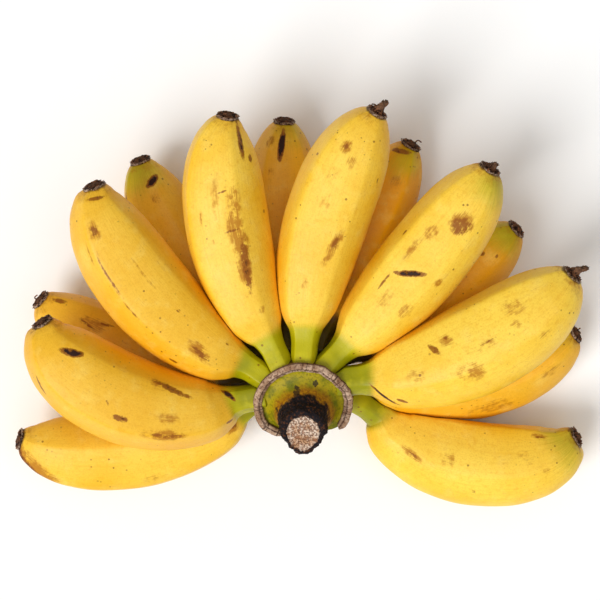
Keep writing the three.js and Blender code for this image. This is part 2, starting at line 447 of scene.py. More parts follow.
def make_peel():
    material, tree, shader, place = new_finish("banana peel", IOR=1.4, Specular_IOR_Level=0.38)
    peel = field(tree, "peel", "Vector")
    _, to_top, along = split(tree, peel)
    fibres_at = vector_calc(tree, "MULTIPLY", peel, (26, 26, 5))
    strands_at = vector_calc(tree, "MULTIPLY", peel, (34, 34, 12))
    broad = noise_value(tree, place, 42, 3, 0.55, 1.0)
    fibres = noise_value(tree, fibres_at, 1, 4, 0.6, 2.0)
    grain = noise_value(tree, place, 1500, 3, 0.6, 3.0)
    crumble = noise_value(tree, place, 430, 5, 0.65, 4.0)
    strands = noise_value(tree, strands_at, 1, 4, 0.7, 5.0)
    cloud = noise_value(tree, place, 120, 3, 0.6, 9.0)

    # Painted light: the tops are painted paler, as a highlight, and the flanks and undersides a deeper
    # gold, as shade.
    ripe = mix_colour(tree, ease(tree, broad, 0.34, 0.64), colour(247, 194, 28), colour(255, 214, 68))
    # How deep the yellow has turned: partly real ripeness, partly painted shade on the fingers that lie
    # in the upper row's shade.
    ripeness_and_shade = field(tree, "ripeness_and_shade")
    ripe = mix_colour(tree, ripeness_and_shade, ripe, colour(236, 164, 2))
    painted_highlight = ease(tree, to_top, 0.35, 0.95, 0, 0.36)
    painted_highlight = calc(tree, "MULTIPLY", painted_highlight, calc(tree, "SUBTRACT", 1.0, ripeness_and_shade))
    ripe = mix_colour(tree, painted_highlight, ripe, colour(255, 226, 104))
    # Painted shade: the flanks and undersides turn a deeper gold.
    ripe = mix_colour(tree, ease(tree, to_top, 0.3, -0.3, 0, 0.3), ripe, colour(240, 170, 4))
    ripe = mix_colour(tree, ease(tree, fibres, 0.42, 0.75, 0, 0.22), ripe, colour(226, 158, 12))
    ripe = mix_colour(tree, ease(tree, cloud, 0.5, 0.72, 0, 0.3), ripe, colour(255, 226, 116))
    ripe = mix_colour(tree, ease(tree, grain, 0.45, 0.75, 0, 0.32), ripe, colour(206, 140, 20))
    ripe = mix_colour(tree, ease(tree, crumble, 0.48, 0.7, 0, 0.3), ripe, colour(228, 160, 16))

    unripe = mix_colour(tree, ease(tree, broad, 0.38, 0.62), colour(144, 142, 2), colour(188, 178, 4))
    unripe = mix_colour(tree, ease(tree, fibres, 0.55, 0.75, 0, 0.35), unripe, colour(118, 126, 4))
    unripe = mix_colour(tree, ease(tree, cloud, 0.5, 0.7, 0, 0.5), unripe, colour(208, 198, 24))
    edge = wavering(tree, field(tree, "green"), broad, 0.9)
    edge = wavering(tree, edge, fibres, 0.4)
    shade = mix_colour(tree, ease(tree, edge, 0.15, 0.95), ripe, unripe)

    # Faint scuffs lie everywhere, as long light-brown streaks that only show in some places.
    scuffs = calc(tree, "MULTIPLY", ease(tree, strands, 0.55, 0.72), ease(tree, cloud, 0.5, 0.68))
    shade = mix_colour(tree, calc(tree, "MULTIPLY", scuffs, 0.7), shade, colour(184, 114, 22))

    worn = tear(tree, field(tree, "rub"), (strands, crumble, cloud))
    rubbed = ease(tree, worn, 0.3, 1.0, 0, 0.8)
    shade = mix_colour(tree, rubbed, shade, colour(174, 104, 4))

    hurt = tear(tree, field(tree, "bruise"), (strands, crumble, crumble), 0.5, 1.4)
    fringe = ease(tree, hurt, 0.25, 0.6, 0, 0.92)
    bruised = ease(tree, hurt, 0.8, 1.25)
    shade = mix_colour(tree, fringe, shade, colour(144, 80, 2))
    shade = mix_colour(tree, bruised, shade, colour(48, 22, 14))

    # Painted shade where skins are pressed together at the root and on the hidden roots, and the peel's
    # own dark line round the flower end.
    crease = ease(tree, calc(tree, "MULTIPLY_ADD", crumble, 0.6, field(tree, "crease")), 0.55, 1.1)
    shade = mix_colour(tree, calc(tree, "MULTIPLY", crease, 0.85), shade, colour(62, 38, 14))

    patches = ease(tree, noise_value(tree, place, 34, 2, 0.5, 6.0), 0.44, 0.62, 0.2, 1.0)
    at_ends = calc(tree, "ADD", ease(tree, along, 0.8, 0.97), ease(tree, along, 0.2, 0.12))
    patches = calc(tree, "ADD", patches, at_ends, clamp=True)
    dots = specks(tree, place, 1.9 * MM, 0.44 * MM, 0.55, 7.0)
    spots = specks(tree, place, 8 * MM, 1 * MM, 0.5, 8.0)
    marks = calc(tree, "MAXIMUM", calc(tree, "MULTIPLY", dots, patches), spots)
    shade = mix_colour(tree, calc(tree, "MULTIPLY", marks, 0.75), shade, colour(124, 66, 6))

    feed(tree, shader.inputs["Base Color"], shade)
    dull = calc(tree, "MAXIMUM", rubbed, bruised)
    gloss = ease(tree, cloud, 0.3, 0.7, 0.35, 0.48)
    feed(tree, shader.inputs["Roughness"], calc(tree, "MULTIPLY_ADD", dull, 0.25, gloss))
    height = calc(tree, "MULTIPLY_ADD", fibres, 0.25, calc(tree, "MULTIPLY", grain, 0.2))
    height = calc(tree, "ADD", height, cloud)
    height = calc(tree, "SUBTRACT", height, calc(tree, "MULTIPLY", bruised, 0.8))
    emboss(tree, shader, height, 0.3 * MM)
    return material


peel_finish = make_peel()
print("peel nodes:", len(peel_finish.node_tree.nodes))

# %% [markdown]
# ## The fingers
# A finger is one long shape that follows a rule: a section that is nearly round, with five
# blunt ridges, swept along the spine and as wide as the profile says. Geometry Nodes can do it
# from a plain cylinder. Each point of the cylinder knows its share of the length and its place
# round it, so the tree looks up the spine there and moves the point out by the radius.

# %% The shape tree of a finger
def finger_tree():
    numbers = ("Flatness", "Ridge Depth", "Ridge Turn", "Lumps", "Seed")
    inputs = {"Rings": "Int", "Facets": "Int", **dict.fromkeys(numbers, "Float")}
    tree, given = shape_tree("finger skin", {**inputs, "Finish": "Material"})
    tube, (to_side, to_top, along), radius, place, ahead = swept_tube(tree, given)
    lean = vector_calc(tree, "DOT_PRODUCT", ahead, (0, 0, 1))
    up = vector_calc(tree, "SUBTRACT", (0, 0, 1), scaled(tree, ahead, lean))
    up = vector_calc(tree, "NORMALIZE", up)
    side = vector_calc(tree, "CROSS_PRODUCT", ahead, up)

    # The radius is greatest on a ridge and least half-way to the next one. The first ridge is
    # the sharpest of the five, and all are sharper on the stalk than on the body.
    around = calc(tree, "ARCTAN2", to_side, to_top)
    from_ridge = calc(tree, "SUBTRACT", around, given["Ridge Turn"])
    turns = calc(tree, "MULTIPLY", from_ridge, RIDGES / 2)
    crease = calc(tree, "ABSOLUTE", calc(tree, "SINE", turns))
    hollow = calc(tree, "SUBTRACT", 0.62, calc(tree, "POWER", crease, 0.95))
    near_first = calc(tree, "MULTIPLY_ADD", calc(tree, "COSINE", from_ridge), 0.5, 0.5)
    sharp = calc(tree, "MULTIPLY_ADD", calc(tree, "POWER", near_first, 3.0), 0.65, 0.35)
    depth = calc(tree, "MULTIPLY", given["Ridge Depth"], ease(tree, along, 0.1, 0.24, 1.6, 1.0))
    depth = calc(tree, "MULTIPLY", depth, sharp)
    reach = calc(tree, "MULTIPLY", radius, calc(tree, "MULTIPLY_ADD", hollow, depth, 1.0))
    reach = calc(tree, "MULTIPLY", reach, ease(tree, along, 1.0, 0.975, 0.78, 1.0))
    swell = calc(tree, "SUBTRACT", noise_value(tree, place, 22, 1, 0.5, given["Seed"]), 0.5)
    reach = calc(tree, "ADD", reach, calc(tree, "MULTIPLY", swell, given["Lumps"]))

    out_side = scaled(tree, side, to_side)
    out_up = scaled(tree, up, calc(tree, "MULTIPLY", to_top, given["Flatness"]))
    out = scaled(tree, vector_calc(tree, "ADD", out_side, out_up), reach)
    peel = combined(tree, to_side, to_top, along)
    skin = store(tree, tube, "peel", peel, "FLOAT_VECTOR")
    skin = moved(tree, skin, vector_calc(tree, "ADD", place, out))
    end_shape(tree, skin, given["Finish"])
    return tree


RIDGES = 5
RINGS, FACETS = 176, 112
finger_shape = finger_tree()
for number, (name, finger) in enumerate(FINGERS.items()):
    spine = finger["spine"]
    finger["skin"] = shaped(
        "peel_" + name,
        line_of(name, spine["place"], spine["radius"]),
        finger_shape,
        {
            "Rings": RINGS,
            "Facets": FACETS,
            "Flatness": FLATNESS,
            "Ridge Depth": 0.12,
            "Ridge Turn": math.radians(finger["ridge"]),
            "Lumps": 1.6 * MM,
            "Seed": 3.7 * number,
            "Finish": peel_finish,
        },
    )
print("points on a finger:", len(FINGERS["upper_1"]["skin"].data.vertices))

# %% [markdown]
# Neighbours on a hand press each other flat where they touch. Two skins that ran through each
# other would look wrong from behind, so every point that is nearer to another finger's spine
# than to its own, measured in radii, is drawn back towards its own spine until both are equal.
# Both skins then end on the same surface, with a hair's breadth between them.

# %% Press the fingers against each other
PRESS_GAP = 0.012  # the space left between two skins, as a share of a radius
MOST_PRESSED = 0.95  # a skin never quite reaches its own spine
NEAR = 1.2  # only points within this many radii of the box round another spine are tried
HALVINGS, SOFT_PASSES = 8, 3
FLAT_FOOT = 0.1 * MM  # the height of the flat belly that a finger lies on


def points_of(mesh, name=None):
    source = mesh.attributes[name].data if name else mesh.vertices
    flat = np.empty(len(source) * 3, np.float32)
    source.foreach_get("vector" if name else "co", flat)
    return flat.reshape(-1, 3).astype(float)


def radii_from(spine, points):
    """How far each point is from a spine, in radii of the finger there."""
    gaps = points[:, None] - spine["place"][None]
    nearest = np.argmin((gaps**2).sum(axis=2), axis=1)
    gap = gaps[np.arange(len(points)), nearest]
    side = (gap * spine["side"][nearest]).sum(axis=1)
    up = (gap * spine["up"][nearest]).sum(axis=1) / FLATNESS
    beyond = (gap * spine["along"][nearest]).sum(axis=1)
    return np.sqrt(side**2 + up**2 + beyond**2) / spine["radius"][nearest]


def pressed_share(points, core, own, other):
    """How far, from 0 to 1, each point goes towards its core to give way to another finger."""
    share = np.zeros(len(points))
    reach = other["radius"].max() * NEAR
    low, high = other["place"].min(axis=0) - reach, other["place"].max(axis=0) + reach
    near = np.flatnonzero(np.all((points > low) & (points < high), axis=1))
    if not len(near):
        return share

    def too_near(at):
        moved = core[near] + (points[near] - core[near]) * (1 - at)[:, None]
        return radii_from(other, moved) - radii_from(own, moved) < PRESS_GAP

    low_share, high_share = np.zeros(len(near)), np.full(len(near), MOST_PRESSED)
    hit = too_near(low_share)
    near, low_share, high_share = near[hit], low_share[hit], high_share[hit]
    for _ in range(HALVINGS):
        middle = (low_share + high_share) / 2
        still = too_near(middle)
        low_share = np.where(still, middle, low_share)
        high_share = np.where(still, high_share, middle)
    share[near] = high_share
    return share


def soften(share, ring, facet):
    """Rounds the edges of the pressed faces, on the grid of rings and facets."""
    grid = np.zeros((RINGS + 1, FACETS))
    grid[ring, facet] = share
    for _ in range(SOFT_PASSES):
        rolled = np.roll(grid, 1, axis=1) + np.roll(grid, -1, axis=1)
        padded = np.pad(grid, ((1, 1), (0, 0)), mode="edge")
        grid = (2 * grid + rolled + padded[:-2] + padded[2:]) / 6
    return grid[ring, facet]


for name, finger in FINGERS.items():
    mesh = finger["skin"].data
    points, peel = points_of(mesh), points_of(mesh, "peel")
    finger["share"], finger["around"] = peel[:, 2], np.arctan2(peel[:, 0], peel[:, 1])
    station = finger["share"] * (STATIONS - 1)
    core = np.stack(
        [np.interp(station, np.arange(STATIONS), axis) for axis in finger["spine"]["place"].T],
        axis=1,
    )
    push = np.zeros(len(points))
    for other_name, other in FINGERS.items():
        if other_name != name:
            press = pressed_share(points, core, finger["spine"], other["spine"])
            push = np.maximum(push, press)
    on_side = np.hypot(peel[:, 0], peel[:, 1]) > 0.5
    ring = np.rint(finger["share"][on_side] * RINGS).astype(int)
    facet = np.rint(finger["around"][on_side] / (2 * math.pi) * FACETS).astype(int) % FACETS
    push[on_side] = soften(push[on_side], ring, facet)
    finger["pressed"] = push
    points = core + (points - core) * (1 - push)[:, None]
    points[:, 2] = np.maximum(points[:, 2], FLAT_FOOT)
    mesh.vertices.foreach_set("co", points.astype(np.float32).ravel())
    mesh.update()
    print(f"{name}: {(push > 0.02).mean():.0%} of the skin is pressed")

# %% [markdown]
# Each finger has marks of its own: long brown rubs where it lay against a neighbour, dark slits
# where the peel was nicked, and spots. They are placed in the finger's own measures, so they
# follow its bend. A mark is an oval, written into the skin as a soft field that is full in
# its middle and half at its edge, which is where the finish draws the ragged line.

# %% Where the marks are
# kind, along (share), around (degrees from the top to the right), length and width in
# millimetres, turn (degrees from the finger's length to its right), strength.
MARKS = {
    "upper_1": (
        ("bruise", 0.86, 24, 9, 3.2, -25, 1.4), ("bruise", 0.38, 33, 20, 2.6, 14, 0.85),
        ("rub", 0.44, 36, 12, 6, 10, 0.8), ("bruise", 0.55, -20, 6.5, 2.4, 0, 0.9),
        ("rub", 0.38, -33, 17, 5.5, 0, 1.0), ("bruise", 0.38, -33, 14, 2.2, 2, 0.66),
        ("rub", 0.38, -9, 12, 6, 0, 0.62), ("bruise", 0.83, -58, 8, 1.5, 22, 0.9),
        ("bruise", 0.16, -44, 3.5, 1.8, 30, 0.75), ("bruise", 0.13, 30, 6, 1.6, 60, 1.6),
        ("bruise", 0.62, -8, 4, 1.1, 40, 0.6), ("rub", 0.7, 20, 9, 1.6, -30, 0.7),
    ),
    "upper_2": (
        ("rub", 0.87, -16, 7, 5.5, 0, 1.0), ("bruise", 0.87, -16, 4, 3, 0, 0.66),
        ("bruise", 0.7, -26, 26, 1.2, 3, 0.78), ("bruise", 0.54, -30, 20, 1.1, 0, 0.64),
        ("rub", 0.8, -36, 12, 1.6, 3, 0.85), ("rub", 0.64, 12, 20, 1.5, 0, 0.8),
        ("rub", 0.27, -14, 14, 6, 14, 1.0), ("bruise", 0.27, -16, 10, 2.2, 14, 0.68),
        ("bruise", 0.33, -62, 3.5, 2, 0, 0.85), ("bruise", 0.44, 14, 2.2, 1.8, 0, 0.62),
        ("bruise", 0.2, 26, 2, 1.6, 0, 0.6), ("bruise", 0.97, 4, 7, 1.4, 88, 0.8),
    ),
    "upper_3": (
        ("bruise", 0.44, 16, 26, 3.2, 6, 0.85), ("rub", 0.47, 15, 34, 6, 6, 1.3),
        ("rub", 0.64, 14, 28, 6.5, 6, 1.1), ("rub", 0.7, -8, 28, 5, 2, 0.58),
        ("bruise", 0.58, 6, 7, 1.2, 82, 0.75), ("bruise", 0.74, 2, 5, 1.1, 70, 0.7),
        ("rub", 0.64, -32, 8, 1.6, 5, 0.9), ("bruise", 0.93, 48, 15, 2.6, 8, 0.95),
        ("bruise", 0.86, 62, 4, 2.6, 0, 0.8), ("rub", 0.24, 20, 4, 3, 0, 0.8),
        ("rub", 0.55, -20, 2.5, 2, 0, 0.8),
    ),
    "upper_4": (
        ("rub", 0.86, -14, 6, 5, 0, 1.0), ("bruise", 0.86, -14, 3, 2.4, 0, 0.66),
        ("rub", 0.82, 6, 7, 5, 0, 0.75), ("rub", 0.74, -12, 9, 5, 0, 0.65),
        ("rub", 0.47, 20, 18, 4.5, 12, 1.0), ("bruise", 0.49, 21, 8, 2.2, 10, 0.66),
        ("rub", 0.3, -10, 7, 4, 0, 0.7), ("rub", 0.62, -8, 16, 5, 0, 0.55),
        ("bruise", 0.78, 60, 3, 1.4, 0, 0.7), ("bruise", 0.78, -50, 2, 1.6, 0, 0.6),
    ),
    "upper_5": (
        ("rub", 0.79, 8, 12, 10, 45, 1.0), ("bruise", 0.785, 10, 9, 7.5, 40, 0.74),
        ("bruise", 0.51, -4, 12, 2.5, 51, 1.55), ("rub", 0.7, -18, 12, 6, 0, 0.8),
        ("rub", 0.6, -24, 16, 3.5, 0, 0.75), ("bruise", 0.42, -26, 12, 1.2, -4, 0.72),
        ("bruise", 0.62, -48, 3.6, 2, 0, 0.7), ("rub", 0.55, 34, 4.5, 3.5, 0, 1.0),
        ("rub", 0.38, 26, 11, 6, 0, 0.66), ("rub", 0.36, -8, 12, 8, 0, 0.52),
    ),
    "upper_6": (
        ("rub", 0.46, -26, 7, 6, 0, 0.9), ("bruise", 0.4, -21, 7, 2.6, 56, 0.85),
        ("bruise", 0.46, -30, 3.5, 1.4, 20, 0.75), ("rub", 0.5, 22, 12, 9.5, 10, 0.95),
        ("bruise", 0.6, -2, 13, 1.1, -2, 0.7), ("rub", 0.58, 0, 20, 5, 0, 0.6),
        ("rub", 0.77, -24, 14, 11, 10, 0.62), ("rub", 0.74, -4, 6, 5, 0, 0.7),
        ("rub", 0.3, 6, 10, 6, 0, 0.62), ("bruise", 0.17, 50, 12, 1.2, 38, 1.7),
        ("bruise", 0.23, 52, 4.5, 2, 30, 0.8), ("rub", 0.8, 30, 9, 4, 0, 0.6),
    ),
    "lower_1": (
        ("rub", 0.94, -66, 22, 11, 0, 1.4), ("bruise", 0.955, -72, 14, 5, 0, 1.0),
        ("rub", 0.17, -28, 6, 5, 0, 1.0), ("bruise", 0.16, -30, 3, 2, 40, 0.72),
        ("bruise", 0.2, 2, 2.4, 1.6, 0, 0.8), ("rub", 0.5, -50, 14, 6, 0, 0.5),
    ),
    "lower_2": (
        ("bruise", 0.8, 18, 12, 1.2, 12, 0.75), ("bruise", 0.72, 30, 9, 1.1, -8, 0.7),
        ("rub", 0.78, 24, 18, 8, 0, 0.66), ("bruise", 0.95, 40, 6, 2.4, 0, 0.8),
    ),
    "lower_3": (
        ("bruise", 0.925, 16, 7, 3, 60, 1.4), ("bruise", 0.87, -58, 9, 2.2, 0, 0.8),
        ("rub", 0.85, 5, 8, 5, 0, 0.6),
    ),
    "lower_4": (
        ("bruise", 0.915, -4, 12, 2.4, 4, 1.8), ("rub", 0.93, -34, 6, 4, 0, 0.9),
        ("rub", 0.8, -20, 9, 5, 0, 0.6),
    ),
    "lower_5": (
        ("bruise", 0.97, -20, 9, 2, 70, 0.9), ("rub", 0.85, 10, 8, 6, 0, 0.6),
    ),
    "lower_6": (
        ("bruise", 0.84, -8, 2.8, 2, 0, 0.75), ("bruise", 0.88, 14, 2.2, 1.6, 0, 0.7),
        ("bruise", 0.7, -12, 3.4, 1.6, 0, 0.6),
    ),
    "lower_7": (
        ("rub", 0.6, 52, 30, 10, 0, 0.62), ("rub", 0.86, 30, 10, 6, 0, 0.66),
    ),
    "lower_8": (
        ("rub", 0.88, -48, 9, 3.4, 0, 1.0), ("bruise", 0.88, -46, 6, 1.2, 4, 0.7),
        ("rub", 0.34, 14, 11, 3.6, 12, 1.0), ("bruise", 0.35, 14, 6, 1.3, 12, 0.7),
        ("rub", 0.48, 0, 9, 8, 0, 0.68), ("rub", 0.8, -12, 10, 9, 0, 0.62),
        ("rub", 0.86, 16, 4, 2.5, 0, 0.85), ("bruise", 0.6, 40, 2, 1.6, 0, 0.6),
    ),
}  # fmt: skip
# How deep the yellow has turned, which is partly painted shade on the fingers in the upper row's
# shade, how green the tip is, and on which side it is greenest.
RIPENESS_AND_SHADE = {
    "upper_1": (0.55, 0.1, 0), "upper_2": (0.5, 0.15, 0), "upper_3": (0.2, 0.4, -25),
    "upper_4": (0.25, 0.35, 10), "upper_5": (0.05, 0.95, 60), "upper_6": (0.05, 0.35, 60),
    "lower_1": (0.35, 0.25, 0), "lower_2": (0.65, 0.1, 0), "lower_3": (0.5, 1.0, -20),
    "lower_4": (0.7, 0.75, 30), "lower_5": (1.0, 0.8, 20), "lower_6": (0.9, 1.1, -10),
    "lower_7": (0.65, 0.7, -30), "lower_8": (0.0, 0.95, -10),
}  # fmt: skip
print(sum(len(marks) for marks in MARKS.values()), "marks")

# The stalks of these lie under the upper row's, and their tops are painted dark brown as shade.
HIDDEN_ROOTS = {f"lower_{number}" for number in range(2, 8)}
print(len(HIDDEN_ROOTS), "hidden roots")

# %% [markdown]
# A mark's field is worked out in the finger's own millimetres, ahead along it and aside round
# it. The other fields follow from the finger's form: green at the neck and the tip, painted shade
# as dark creases where pressed skins meet at the root and on the tops of the hidden roots, and
# the peel's own dark line round the flower end. Each skin then rides on the part's one body and
# stands in for its CAD solid.

# %% Write the marks, the green, the painted shade and the ripeness into the skins
def put(mesh, name, values):
    attribute = mesh.attributes.new(name, "FLOAT", "POINT")
    attribute.data.foreach_set("value", np.asarray(values, np.float32))


def smooth_step(value, low, high):
    t = np.clip((value - low) / (high - low), 0, 1)
    return t * t * (3 - 2 * t)


def mark_field(finger, mark):
    _, along, around, length, width, turn, strength = mark
    turned = (finger["around"] - math.radians(around) + math.pi) % (2 * math.pi) - math.pi
    ahead = (finger["share"] - along) * finger["length"]
    aside = turned * girth_at(finger["share"], finger) * finger["girth"] / 2
    c, s = math.cos(math.radians(turn)), math.sin(math.radians(turn))
    reach = np.hypot(2 * (ahead * c + aside * s) / length, 2 * (aside * c - ahead * s) / width)
    return strength * np.clip(1.5 - reach, 0, 1)


for name, finger in FINGERS.items():
    mesh = finger["skin"].data
    ripeness_and_shade, tip_green, green_side = RIPENESS_AND_SHADE[name]
    share, around = finger["share"], finger["around"]
    # The peel is always a little scuffed where it meets the flower end.
    fields = {"rub": 0.62 * smooth_step(share, 0.91, 1.0), "bruise": np.zeros(len(share))}
    for mark in MARKS[name]:
        fields[mark[0]] = np.maximum(fields[mark[0]], mark_field(finger, mark))
    facing = 0.5 + 0.5 * np.cos(around - math.radians(green_side))
    at_tip = 0.75 * smooth_step(share, 0.78, 1.0) * tip_green * facing
    at_neck = 1 - smooth_step(on_profile(share, finger), 0.1, 0.185)
    at_root = 1 - smooth_step(share, 0.14, 0.22)
    # Painted shade: dark where pressed skins meet at the root and on the tops of the hidden roots. The
    # dark line at the very tip is the peel's own colour round the flower end.
    crease = smooth_step(finger["pressed"], 0.01, 0.09) * at_root
    if name in HIDDEN_ROOTS:
        crease = np.maximum(crease, 0.9 * at_root * smooth_step(np.cos(around), -0.6, 0.4))
    crease = np.maximum(crease, 0.9 * smooth_step(share, 0.982, 1.0))
    put(mesh, "rub", fields["rub"])
    put(mesh, "bruise", fields["bruise"])
    put(mesh, "green", np.maximum(at_neck, at_tip))
    put(mesh, "crease", crease)
    put(mesh, "ripeness_and_shade", np.full(len(share), ripeness_and_shade))
    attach(finger["skin"], "root")
    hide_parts("finger_" + name)
print("fields:", [a.name for a in mesh.attributes if not a.is_internal])

# %% [markdown]
# ## The crown
# The crown is the cushion of stalk tissue that the fingers grow from. Its face is a green dish,
# which climbs to the cut stub: first an orange-brown halo, then a charred collar, then the pale
# fibrous end. One outline changes smoothly from the cushion to the stub, so the crown is lofted
# through rings whose radius, height and middle come from a few stations. The stations also
# say which tissue a point belongs to, and the finish reads that as a field.

# %% Loft the crown
OPEN_EDGE = 13.5  # millimetres from the middle to the side where no finger grows
# radius, height, how far the middle is drawn to -Y, and how much of the open side shows
CROWN_STATIONS = np.array(
    (
        (0, -26.5, 0, 0), (9, -25, 0, 0.6), (15, -20, 0, 1), (18.6, -12, 0, 1),
        (19.3, -5, 0, 1), (19.2, -0.6, 0, 1), (17.6, -0.3, 0, 1), (16, -0.3, 0.2, 1),
        (14.4, 0.4, 1, 0.9), (12.9, 2.2, 2.2, 0.45), (11.7, 5.6, 3.2, 0.1), (11, 10.5, 3.8, 0),
        (10.8, 14.6, 4, 0), (10.1, 16.8, 4, 0), (8.7, 17.5, 4, 0), (7.5, 17.1, 4, 0),
        (4, 16.7, 4, 0), (0, 16.7, 4, 0),
    )
)  # fmt: skip
DISH, HALO, CHAR, FACE = 5.5, 8.7, 10.1, 14.9  # the stations where each tissue begins
CROWN_RINGS, CROWN_FACETS = 150, 180


def loft(name, rings):
    """A closed body through rings of points. The first and last rings are points."""
    count, facets = rings.shape[:2]
    inner = rings[1:-1].reshape(-1, 3)
    points = np.vstack((inner, rings[0, :1], rings[-1, :1]))
    first, last = len(points) - 2, len(points) - 1
    j = np.arange(facets)
    k = (j + 1) % facets
    faces = []
    for i in range(count - 3):
        a, b = i * facets, (i + 1) * facets
        faces += np.column_stack((a + j, a + k, b + k, b + j)).tolist()
    top = (count - 3) * facets
    faces += [(first, int(q), int(p)) for p, q in zip(j, k)]
    faces += [(top + int(p), top + int(q), last) for p, q in zip(j, k)]
    mesh = bpy.data.meshes.new(name)
    mesh.from_pydata(points.tolist(), [], faces)
    mesh.shade_smooth()
    return mesh


def rough(points, scale, seed, octaves=3):
    """Fractal noise, about -1 to 1, at each point. scale is how many bumps fit in a millimetre."""
    shift = Vector((seed, -seed, 2 * seed))
    return np.array([noise.fractal(Vector(p) * scale + shift, 1.0, 2.0, octaves) for p in points])


def on_crown(points):
    """Carries points from the crown's own level frame, in millimetres, to the row frame."""
    return points @ np.array(TILTED).T * MM + np.array(scar_middle)


station = np.linspace(0, len(CROWN_STATIONS) - 1, CROWN_RINGS)
columns = np.arange(len(CROWN_STATIONS), dtype=float)
radius, height, back, openness = (
    smooth_through(columns, values, station)[:, None] for values in CROWN_STATIONS.T
)
heading = np.linspace(0, 2 * math.pi, CROWN_FACETS, endpoint=False)[None]
facing_open = np.clip(-np.cos(heading), 0.05, 1)
# The open side is cut straight, with a corner that this power keeps round.
ROUND = -9
cut = (np.maximum(radius, 0.01) ** ROUND + (OPEN_EDGE / facing_open) ** ROUND) ** (1 / ROUND)
radius = radius + (np.minimum(cut, radius) - radius) * openness
rings = np.stack(
    (
        radius * np.sin(heading),
        radius * np.cos(heading) - back,
        height + np.zeros_like(heading),
    ),
    axis=-1,
)

# The stub is an oval that narrows to the open side, and it was cut on a slant.
flat_rings = rings.reshape(-1, 3)
level = np.repeat(station, CROWN_FACETS)
STUB_MIDDLE, STUB_HALF = -4, 10  # millimetres in Y
SLIMMER, TAPER = 0.1, 0.24  # how much of its width it loses everywhere, and at the open side
SET_BACK, SHORTER = 1.2, 0.04
SLANT = 0.2
forward = STUB_MIDDLE - flat_rings[:, 1]
on_stub = smooth_step(level, HALO, CHAR + 1)
flat_rings[:, 0] *= 1 - on_stub * (SLIMMER + TAPER * np.clip(forward / STUB_HALF, 0, 1))
flat_rings[:, 1] += on_stub * (SET_BACK + SHORTER * forward)
flat_rings[:, 2] += on_stub * SLANT * forward * smooth_step(level, CHAR, FACE)
dish_x, dish_y = flat_rings[:, 0].copy(), flat_rings[:, 1].copy()

# The collar is burnt and lumpy, the end is torn across its fibres, and the dish is smooth.
burnt = smooth_step(level, CHAR - 0.6, CHAR + 0.6) * (1 - smooth_step(level, FACE - 0.3, FACE + 0.3))
torn = smooth_step(level, FACE - 0.2, FACE + 0.2) * (1 - smooth_step(level, 16.4, 17))
lump = rough(flat_rings, 0.34, 3.1) * 0.75 + rough(flat_rings, 0.9, 8.4) * 0.35
outward = flat_rings - np.array((0, STUB_MIDDLE, 9))
outward = unit(outward * np.array((1, 1, 0.5)))
flat_rings = flat_rings + outward * (burnt * lump)[:, None]
flat_rings[:, 2] += torn * rough(flat_rings, 1.1, 5.0) * 0.35
soft = 1 - smooth_step(level, CHAR - 2, CHAR)
swell = soft * (level > 0.5) * rough(flat_rings, 0.16, 9.0, 2) * 0.35
flat_rings = flat_rings + outward * swell[:, None]
rings = flat_rings.reshape(rings.shape)
rings[0], rings[-1] = rings[0].mean(axis=0), rings[-1].mean(axis=0)
crown_mesh = loft("crown_flesh", on_crown(rings))


def per_point(values):
    """Values on the grid of rings and facets, in the order of a loft's points."""
    return np.concatenate((values[CROWN_FACETS:-CROWN_FACETS], values[:1], values[-1:]))


# The halo runs further down the right flank. Three small dark nicks lie in the dish.
NICKS = ((-2.9, 9.3, 1.9), (5, 11.4, 1.3), (-10.5, 0.5, 1.2))  # X, Y and reach in millimetres
side_of = np.tile(np.sin(heading[0]), CROWN_RINGS)
nicked = np.zeros(len(level))
for x, y, reach in NICKS:
    nicked = np.maximum(nicked, 1.5 - np.hypot(dish_x - x, dish_y - y) / reach)
put(crown_mesh, "level", per_point(level + 0.35 * side_of * (level < CHAR)))
put(crown_mesh, "nick", per_point(np.clip(nicked, 0, 1) * (level < CHAR) * (level > 4)))
print("crown points:", len(crown_mesh.vertices))

# %% [markdown]
# The crown's finish follows the level field from tissue to tissue. Noise shifts the field
# before it is read, so each border wanders. The cut end is a bundle of fibres seen end on,
# which a Voronoi pattern gives: pale cells with brown walls and dark pores.

